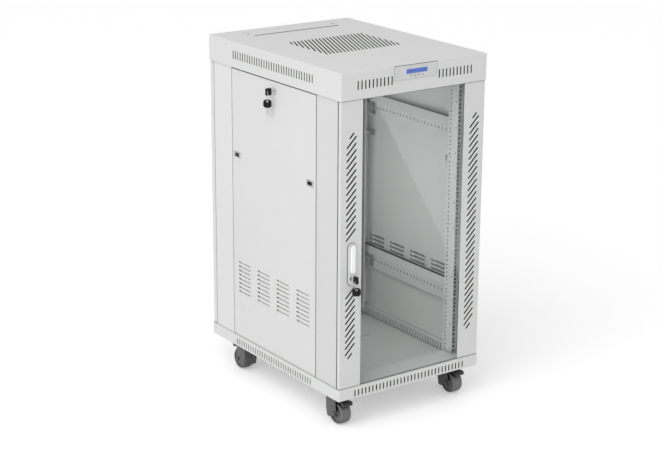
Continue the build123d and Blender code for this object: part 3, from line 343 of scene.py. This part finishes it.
# ------------------------------------------------------------------ materials
GREY = (0.692, 0.698, 0.691)
PANEL_CORE = (0.2962, (-0.2571, 0.2544), (0.1546, 1.1315))
powder("grey_powder_coat", GREY, corner=0.16)
powder("grey_powder_coat_panels", GREY, corner=0.16, core=PANEL_CORE)
# a shade darker copy of the grey coat: painted shade for the front door stiles
powder("grey_powder_coat_shaded_doors", (0.677, 0.683, 0.677), corner=0.26)
# a darker copy with longer reach: painted shade for the posts and members inside
powder("grey_powder_coat_shaded_inside", (0.644, 0.648, 0.643), roughness=0.52, grain=0.012,
       reach=0.022, corner=0.30, full=0.85)
# a lighter copy of the grey coat: painted light for the rear posts, which sit in shade
powder("grey_powder_coat_lit_rear", (0.724, 0.729, 0.724), roughness=0.52, grain=0.012,
       reach=0.012, corner=0.62, full=0.75)
# a lighter copy of the rail coat: painted light for the rear rails, which sit in shade
powder("rail_coat_lit_rear", (0.790, 0.795, 0.790), roughness=0.42, grain=0.03,
       reach=0.014, corner=0.66, full=0.75)
powder("grey_powder_coat_louvres", (0.690, 0.700, 0.690), roughness=0.5, grain=0.02,
       reach=0.003, corner=0.80, full=0.80)
# strong, far-reaching painted shade inside the rail channels
powder("rail_coat", (0.680, 0.690, 0.686), roughness=0.38, grain=0.04,
       reach=0.040, corner=0.22, full=0.62)
metal("zinc_plated_steel", (0.60, 0.61, 0.61), roughness=0.34, spangle=0.4)
metal("lock_chrome", (0.78, 0.78, 0.79), roughness=0.16, grain=0.02)
metal("caster_pressing", (0.140, 0.140, 0.143), roughness=0.30, metallic=0.45, reach=0.022)
plastic("key_black_plastic", (0.012, 0.012, 0.013), roughness=0.34)
# dark rubber for the door gaskets, also for strips of painted shade in gaps
plastic("seal_rubber", (0.035, 0.035, 0.035), roughness=0.72, grain=0.25, scale=900)
plastic("seal_rubber_light", (0.40, 0.41, 0.405), roughness=0.6, grain=0.2, scale=900)
plastic("escutcheon_grey", (0.70, 0.71, 0.71), roughness=0.38, vary=0.02)
powder("lever_light_metal", (0.95, 0.95, 0.95), roughness=0.34, grain=0.04, corner=0.5)
plastic("fascia_grey", (0.62, 0.635, 0.63), roughness=0.42)
plastic("button_grey", (0.30, 0.31, 0.315), roughness=0.45)
plastic("circuit_board", (0.015, 0.12, 0.05), roughness=0.3, vary=0.2)
plastic("fan_black_plastic", (0.018, 0.018, 0.019), roughness=0.42)
plastic("latch_plate_light", (0.42, 0.43, 0.425), roughness=0.4)
plastic("latch_slider_dark", (0.020, 0.020, 0.021), roughness=0.36)
plastic("caster_wheel_nylon", (0.150, 0.150, 0.152), roughness=0.32, reach=0.020)
plastic("pedal_black", (0.030, 0.030, 0.030), roughness=0.30, reach=0.010)
glass()
display()

# keys: the black bow stands off a lock point, plated metal elsewhere
OPEN = (None, None)
BLACK, PLATE = (0.007, 0.007, 0.008), (0.72, 0.72, 0.73)
DOOR_LOCK = Vector((-0.2515, -0.4045, 0.539)).to_tuple(6)
LEFT_LOCK = Vector((-0.299, -0.010, 1.100)).to_tuple(6)
BOW_HALF_THICK, BOW_HALF_HEIGHT = 0.0037, 0.013
BOW_FAR, BOW_NEAR = 0.0315, 0.0088  # distances out from the lock point
SPARE_DROP = 0.0542  # the spare key is black above this depth below the lock point


def key_pair(suffix, lock, outward_axis):
    """finishes of the key in a lock, standing out along -X (0) or -Y (1), and its spare"""
    bow = [around(lock[0], BOW_HALF_THICK), around(lock[1], BOW_HALF_THICK),
           around(lock[2], BOW_HALF_HEIGHT)]
    bow[outward_axis] = (lock[outward_axis] - BOW_FAR, lock[outward_axis] - BOW_NEAR)
    name = "key_black_plastic_" + suffix
    two_tone(name, bow, BLACK, PLATE)
    two_tone(name + "_spare", [OPEN, OPEN, (lock[2] - SPARE_DROP, None)], BLACK, PLATE)


key_pair("door", DOOR_LOCK, outward_axis=1)
key_pair("left", LEFT_LOCK, outward_axis=0)

# latches are dark outside this distance from the middle plane
LATCH_DARK_X = 0.2850
for suffix, x_range in (("left", (None, -LATCH_DARK_X)), ("right", (LATCH_DARK_X, None))):
    two_tone("latch_slider_dark_" + suffix, [x_range, OPEN, OPEN],
             inner=(0.020, 0.020, 0.021), outer=(0.62, 0.62, 0.63),
             inner_roughness=0.36, outer_roughness=0.28)
# fasteners above z = 1.20 are dark
two_tone("steel_plated_fasteners", [OPEN, OPEN, (1.20, None)],
         inner=(0.03, 0.03, 0.03), outer=(0.60, 0.61, 0.61),
         inner_roughness=0.4, outer_roughness=0.34)
# black and grey sheets put behind slots to paint their shade
plastic("shade_sheet_black", (0.005, 0.005, 0.005), roughness=0.9, specular=0.04,
        grain=0.8, scale=700.0, vary=0.25)
plastic("shade_sheet_grey", (0.23, 0.232, 0.23), roughness=0.9, specular=0.1,
        grain=0.8, scale=700.0, vary=0.25)
# black for the cable entry brush, and for strips of painted shade in gaps and behind holes
plastic("bristle_and_shade_black", (0.008, 0.008, 0.008), roughness=0.7, specular=0.1,
        grain=0.4, scale=1500.0, vary=0.3)

# finish: the CAD pieces that wear it
WEARERS = {
    "grey_powder_coat": "base_tray top_cover cable_covers rear_door",
    "grey_powder_coat_panels": "left_panel right_panel",
    "grey_powder_coat_shaded_doors": "door_left_stile door_right_stile",
    "grey_powder_coat_shaded_inside": "front_posts depth_members",
    "grey_powder_coat_lit_rear": "rear_posts",
    "rail_coat": "front_rails",
    "rail_coat_lit_rear": "rear_rails",
    "zinc_plated_steel":
        "rail_brackets fan_tray caster_plates hinge_pins handle_spindle latch_cam",
    "steel_plated_fasteners": "frame_fasteners",
    "fan_black_plastic": "fan_frames fan_rotor_left fan_rotor_right",
    "fascia_grey": "lcd_bezel",
    "display_blue": "lcd_display",
    "circuit_board": "controller_board",
    "button_grey": "button_1 button_2 button_3 button_4",
    "tinted_glass": "door_glass",
    "seal_rubber_light": "door_seals",
    "escutcheon_grey": "handle_escutcheon",
    "lever_light_metal": "handle_lever",
    "lock_chrome":
        "door_lock_cylinder rear_lock_cylinder left_lock_cylinder right_lock_cylinder",
    "key_black_plastic_door": "door_key",
    "key_black_plastic_door_spare": "door_spare_key",
    "key_black_plastic_left": "left_key",
    "key_black_plastic_left_spare": "left_spare_key",
    "latch_plate_light": "left_latch_plates right_latch_plates",
    "latch_slider_dark_left": "left_latch_front left_latch_rear",
    "latch_slider_dark_right": "right_latch_front right_latch_rear",
}
FINISH_OF = {piece: finish for finish, pieces in WEARERS.items() for piece in pieces.split()}
for corner in ("front_left", "front_right", "rear_left", "rear_right"):
    FINISH_OF["caster_fork_" + corner] = "caster_pressing"
    FINISH_OF["caster_wheel_" + corner] = "caster_wheel_nylon"
    FINISH_OF["caster_pedal_" + corner] = "pedal_black"

for name, node in NODES.items():
    material = MATERIALS[FINISH_OF[name]]
    if not node.material_slots:
        node.data.materials.append(material)
    for slot in node.material_slots:
        slot.material = material


# ------------------------------------------------------------------ piece builder, in mm
class Piece:
    """Collects blocks, rings and louvre blades into one mesh object."""

    def __init__(self):
        self.points, self.faces = [], []

    def block(self, x, y, z):
        """box from three (start, end) pairs, in either order"""
        (x0, x1), (y0, y1) = sorted(x), sorted(y)
        n = len(self.points)
        for level in sorted(z):
            self.points += [(x0, y0, level), (x1, y0, level), (x1, y1, level), (x0, y1, level)]
        quads = ((3, 2, 1, 0), (4, 5, 6, 7), (0, 1, 5, 4), (1, 2, 6, 5), (2, 3, 7, 6), (3, 0, 4, 7))
        self.faces += [tuple(n + i for i in quad) for quad in quads]

    def ring(self, outer, inner, centre, depths):
        """upright ring between two (x, z) outlines of equal count, between two y depths"""
        n, count = len(self.points), len(outer)
        for y in depths:
            self.points += [(centre[0] + x, y, centre[1] + z) for x, z in outer + inner]
        layer = 2 * count
        for i in range(count):
            j = (i + 1) % count
            a, b, c, d = n + i, n + j, n + count + j, n + count + i
            self.faces += [(a, d, c, b), (a + layer, b + layer, c + layer, d + layer),
                           (a, b, b + layer, a + layer), (d, d + layer, c + layer, c)]

    def blade(self, centre, z, place):
        """louvre blade; place(along, depth, z) gives the point"""
        n, count = len(self.points), len(BLADE_PROFILE)
        for along, share in BLADE_STATIONS:
            self.points += [place(centre + along, SKIN + (depth - SKIN) * share, z + rise)
                            for depth, rise in BLADE_PROFILE]
        last = (len(BLADE_STATIONS) - 1) * count
        for start in range(n, n + last, count):
            for j in range(count):
                p, q = start + j, start + (j + 1) % count
                self.faces.append((p, q, q + count, p + count))
        self.faces.append(tuple(n + j for j in reversed(range(count))))
        self.faces.append(tuple(n + last + j for j in range(count)))

    def finish(self, name, body, material, slot="seal_rubber", bevel=0.0):
        mesh = bpy.data.meshes.new(name)
        mesh.from_pydata([tuple(c / 1000.0 for c in p) for p in self.points], [], self.faces)
        work = bmesh.new()
        work.from_mesh(mesh)
        bmesh.ops.recalc_face_normals(work, faces=work.faces)
        work.to_mesh(mesh)
        work.free()
        obj = bpy.data.objects.new(name, mesh)
        scene.collection.objects.link(obj)
        mesh.materials.append(MATERIALS[material])
        if bevel:
            modifier = obj.modifiers.new("bevel", "BEVEL")
            modifier.width = bevel / 1000.0
            modifier.segments = 2
            modifier.limit_method = "ANGLE"
        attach(obj, body)


def blocks_piece(name, body, material, blocks, bevel=0.0):
    """one piece from a list of (x, y, z) ranges"""
    piece = Piece()
    for x, y, z in blocks:
        piece.block(x, y, z)
    piece.finish(name, body, material, bevel=bevel)


def mirrored(side, span):
    return (side * span[0], side * span[1])


# ------------------------------------------------------------------ louvres
SKIN = 0.15  # depth at which a blade meets the sheet
BLADE_HALF = 38.2
# (depth, height) round the section: slanting blade with a folded lip
BLADE_PROFILE = [(0.15, 4.6), (0.9, 3.2), (2.7, -2.4), (3.0, -3.6), (2.2, -3.9),
                 (1.8, -2.7), (0.15, 2.7)]
# (place along the slot, share of the full depth)
BLADE_STATIONS = [(-BLADE_HALF, 0.45), (-BLADE_HALF + 4, 0.85), (-BLADE_HALF + 9, 1.0),
                  (BLADE_HALF - 21, 1.0), (BLADE_HALF - 16, 0.85), (BLADE_HALF - 12, 0.45)]
LOUVRE_ROWS, ROW_PITCH = 8, 15.6
LOWER_BANK_Z, UPPER_BANK_Z = 325.0, 855.0  # lowest row of each bank
STRIP_HALF = 42.0
STRIP_DEPTHS = (4.6, 6.2)
STRIP_BELOW, STRIP_ABOVE = 4.2, 3.0


def louvres(body, column_pitch, banks, place):
    """four columns of blades in a sheet, with a grey strip of painted shade behind each"""
    blades, strips = Piece(), Piece()
    for column in (-1.5, -0.5, 0.5, 1.5):
        centre = column * column_pitch
        for row in range(LOUVRE_ROWS):
            for bank in banks:
                z = bank + ROW_PITCH * row
                blades.blade(centre, z, place)
                near = place(centre - STRIP_HALF, STRIP_DEPTHS[0], z - STRIP_BELOW)
                far = place(centre + STRIP_HALF, STRIP_DEPTHS[1], z + STRIP_ABOVE)
                strips.block(*zip(near, far))
    blades.finish(body + "_louvre_blades", body, "grey_powder_coat_louvres",
                  slot="grey_powder_coat")
    strips.finish(body + "_louvre_shade_strips", body, "shade_sheet_grey", bevel=0.5)


# ------------------------------------------------------------------ side panels and posts
PANEL_FACE_X = 295.8
PANEL_Y = (-257.2, 254.5)
POST_Z = (154.0, 1132.6)
for side, body in zip(SIDES, ("left_panel", "right_panel")):
    louvres(body, 122.0, (LOWER_BANK_Z,),
            lambda along, depth, z: (side * (PANEL_FACE_X - depth), along, z))
    # gaskets in the top gaps of the panels, in black that paints the shade of the gap
    blocks_piece(body + "_edge_gaskets_and_shade", body, "bristle_and_shade_black",
                 [(mirrored(side, (285.0, 296.8)), PANEL_Y, (1132.75, 1136.45))], bevel=0.4)
    blocks_piece(body + "_lower_gaskets", body, "grey_powder_coat_louvres",
                 [(mirrored(side, (285.0, 296.85)), PANEL_Y, (151.62, 153.42))], bevel=0.2)
# gaskets in the front gaps by the posts, in black that paints the shade of the gap
blocks_piece("post_gaskets_and_shade_front", "cabinet", "bristle_and_shade_black",
             [(mirrored(side, (284.0, 296.75)), (-261.8, -258.45), POST_Z) for side in SIDES],
             bevel=0.4)
blocks_piece("post_gaskets_rear", "cabinet", "grey_powder_coat_louvres",
             [(mirrored(side, (284.0, 293.4)), (255.75, 257.8), POST_Z) for side in SIDES],
             bevel=0.4)

# dark strips of painted shade along the top edges of the depth members and behind their slot rows
MEMBER_HEIGHT = 80.0
member_shade = []
for side in SIDES:
    for bottom in (315.0, 900.0):
        top = bottom + MEMBER_HEIGHT
        member_shade.append((mirrored(side, (273.6, 281.6)), (-376.0, 369.0), (top - 0.2, top + 3.0)))
        member_shade.append((mirrored(side, (271.7, 273.4)), (-366.0, 366.0),
                     (bottom + 27.0, bottom + 41.0)))
blocks_piece("member_shade_strips", "cabinet", "seal_rubber", member_shade, bevel=0.5)

# black strips of painted shade behind the round holes of the rail flanges; (rail face y, way
# inwards)
blocks_piece("rail_shade_strips", "cabinet", "bristle_and_shade_black",
             [(mirrored(side, (227.15, 228.3)),
               (face + inward * 4.0, face + inward * 47.0), (158.0, 1130.0))
              for side in SIDES for face, inward in ((-348.0, 1), (252.0, -1))], bevel=0.3)

# ------------------------------------------------------------------ doors
REAR_DOOR_FACE_Y = 396.8
louvres("rear_door", 120.0, (LOWER_BANK_Z, UPPER_BANK_Z),
        lambda along, depth, z: (along, REAR_DOOR_FACE_Y - depth, z))

# black sheets of painted shade behind the slots of the front door stiles; the left one is split
STILE_X, STILE_Y = (229.0, 284.0), (-396.7, -394.2)
blocks_piece("stile_shade_sheets", "front_door", "shade_sheet_black", [
    (mirrored(-1, STILE_X), STILE_Y, (664.0, 1042.0)),
    (mirrored(-1, STILE_X), STILE_Y, (238.0, 512.0)),
    (STILE_X, STILE_Y, (238.0, 1042.0)),
], bevel=0.6)

# closing gaskets up both sides of the front door, in dark rubber that also paints the shade of the
# door gap
blocks_piece("front_door_gasket_and_shade", "front_door", "seal_rubber",
             [(mirrored(side, (286.4, 294.6)), (-383.95, -380.35), (155.6, 1132.4))
              for side in SIDES], bevel=0.5)

# ------------------------------------------------------------------ cap, base and roof: sheets of painted shade behind the slots
SHADE_SHEET_X, SHADE_SHEET_Y = (295.6, 298.4), (395.6, 398.4)
SLOTS_ACROSS = around(0.0, 242.0)
CAP_Z, BASE_Z = (1164.0, 1200.5), (112.4, 142.5)
shade_sheets = []
for side in SIDES:
    shade_sheets.append((mirrored(side, (92.5, 242.0)), mirrored(-1, SHADE_SHEET_Y), CAP_Z))
    shade_sheets.append((mirrored(side, SHADE_SHEET_X), around(0.0, 248.0), CAP_Z))
shade_sheets += [(SLOTS_ACROSS, SHADE_SHEET_Y, CAP_Z),
            (SLOTS_ACROSS, mirrored(-1, SHADE_SHEET_Y), BASE_Z),
            (SLOTS_ACROSS, SHADE_SHEET_Y, BASE_Z)]
blocks_piece("cabinet_shade_sheets", "cabinet", "shade_sheet_black", shade_sheets, bevel=0.6)
blocks_piece("base_side_shade_sheets", "cabinet", "shade_sheet_grey",
             [(mirrored(side, SHADE_SHEET_X), SLOTS_ACROSS, BASE_Z) for side in SIDES], bevel=0.6)
# black sheet of painted shade under the roof grille
blocks_piece("roof_shade_sheet", "cabinet", "shade_sheet_black",
             [(around(0.0, 161.0), around(0.0, 127.0), (1222.4, 1226.2))], bevel=0.8)


# ------------------------------------------------------------------ small strips of painted shade, and brush
def oval(width, height, steps=16):
    """upright oval outline: a half circle on top and one below"""
    radius = width / 2
    rise = height / 2 - radius
    points = []
    for start, middle in ((0.0, rise), (math.pi, -rise)):
        for i in range(steps + 1):
            angle = start + math.pi * i / steps
            points.append((radius * math.cos(angle), middle + radius * math.sin(angle)))
    return points


# thin dark ring of painted shade round the escutcheon, where its recess gap lies
shade_ring = Piece()
shade_ring.ring(oval(32.6, 147.6), oval(29.3, 144.3), centre=(-251.5, 587.0),
            depths=(-398.05, -398.75))
shade_ring.finish("escutcheon_shade_ring", "front_door", "seal_rubber")

# dark rubber strips along the top and left edges of the fascia, dark to paint the shade of its
# seams
blocks_piece("fascia_seal_and_shade", "cabinet", "seal_rubber", [
    (around(0.0, 88.6), (-400.25, -399.0), (1225.2, 1226.9)),
    ((-89.4, -88.5), (-400.15, -399.0), (1177.0, 1225.4)),
], bevel=0.2)

# brush in the slit of the cable entry: a bar and tufts of uneven lean and length
TUFTS, TUFT_PITCH, FIRST_TUFT_X, TUFT_HALF = 144, 2.4964, -178.5, 0.95
brush = [(around(0.0, 179.5), (285.4, 288.0), (1222.6, 1226.2))]
for i in range(TUFTS):
    x = FIRST_TUFT_X + i * TUFT_PITCH + 0.35 * math.sin(i * 12.9898)
    tip = 293.2 + 0.2 * math.sin(i * 4.1)
    brush.append((around(x, TUFT_HALF), (286.2, tip), (1225.9, 1227.7)))
blocks_piece("cable_entry_brush", "cabinet", "bristle_and_shade_black", brush)


# ------------------------------------------------------------------ stage, in metres
def floor(half=30.0, z=-0.0005):
    """pale floor, lifted a little where the camera sees it directly"""
    tree = new_material("floor_pale")
    camera_ray = tree.add("ShaderNodeLightPath").outputs["Is Camera Ray"]
    lift = tree.math("MULTIPLY", camera_ray, 0.28)
    tree.surface(tree.principled(Base_Color=(0.86, 0.86, 0.86, 1), Roughness=0.6,
                                 Emission_Color=(1, 1, 1, 1), Emission_Strength=lift))
    mesh = bpy.data.meshes.new("stage_floor")
    corners = [(-half, -half, z), (half, -half, z), (half, half, z), (-half, half, z)]
    mesh.from_pydata(corners, [], [(0, 1, 2, 3)])
    obj = bpy.data.objects.new("stage_floor", mesh)
    scene.collection.objects.link(obj)
    mesh.materials.append(MATERIALS["floor_pale"])


def studio_world():
    """white surround, brighter above and to the left, full white to the camera"""
    scene.world = bpy.data.worlds.new("studio")
    tree = Tree(scene.world, "ShaderNodeOutputWorld")
    direction = tree.add("ShaderNodeTexCoord").outputs["Generated"]
    slope, level = (-0.05, 0.0, 0.10), 0.55
    tilt = tree.add("ShaderNodeVectorMath", {"operation": "DOT_PRODUCT"},
                    {0: direction, 1: slope}).outputs["Value"]
    strength = tree.math("ADD", tilt, level)
    camera_ray = tree.add("ShaderNodeLightPath").outputs["Is Camera Ray"]
    strength = tree.math("MAXIMUM", strength, camera_ray)
    tree.surface(tree.add("ShaderNodeBackground", Strength=strength,
                          Color=(1, 1, 1, 1)).outputs[0])


def light(name, kind, power, shines):
    """lamp object turned to shine along a direction"""
    data = bpy.data.lights.new(name, kind)
    data.energy = power
    obj = bpy.data.objects.new(name, data)
    scene.collection.objects.link(obj)
    obj.rotation_euler = shines.to_track_quat("-Z", "Y").to_euler()
    return obj


def area(name, place, target, power, width, height=None):
    obj = light(name, "AREA", power, Vector(target) - Vector(place))
    obj.location = place
    obj.data.shape = "RECTANGLE" if height else "SQUARE"
    obj.data.size = width
    if height:
        obj.data.size_y = height
    return obj


def sun(name, towards, strength, angle):
    """soft parallel light; towards points at the light"""
    light(name, "SUN", strength, -Vector(towards)).data.angle = math.radians(angle)


def camera():
    azimuth, elevation, roll = map(math.radians, (-35.2633, 17.1924, 0.326))
    data = bpy.data.cameras.new("camera")
    obj = bpy.data.objects.new("camera", data)
    scene.collection.objects.link(obj)
    back = Vector((math.sin(azimuth) * math.cos(elevation),
                   -math.cos(azimuth) * math.cos(elevation), math.sin(elevation)))
    level = Vector((0, 0, 1)).cross(back).normalized()
    upright = back.cross(level)
    right = math.cos(roll) * level + math.sin(roll) * upright
    up = -math.sin(roll) * level + math.cos(roll) * upright
    turn = Matrix((right, up, back)).transposed().to_4x4()
    obj.matrix_world = Matrix.Translation(Vector((-3.33021, -4.62999, 2.34041))) @ turn
    data.sensor_width = 36.0
    data.sensor_fit = "HORIZONTAL"
    data.lens = 91.92
    data.clip_end = 200.0
    scene.camera = obj


floor()
studio_world()
sun("key_light", towards=(-0.70, -0.22, 0.68), strength=0.26 * math.pi, angle=60.0)
area("key_box", place=(-2.2, -1.2, 2.9), target=(-0.3, 0.0, 0.9), power=24.5, width=2.4)
sun("front_light", towards=(-0.35, -0.85, 0.39), strength=0.13 * math.pi, angle=60.0)
# weak fill inside the cabinet, near the left side
fill = area("bay_fill", place=(-0.262, -0.02, 0.80), target=(1.0, 0.10, 0.80),
            power=1.62, width=0.50, height=0.60)
fill.visible_camera = False
fill.visible_glossy = False
camera()

scene.view_settings.view_transform = "Standard"
scene.view_settings.look = "None"
scene.view_settings.exposure = 0.0
scene.view_settings.gamma = 1.0
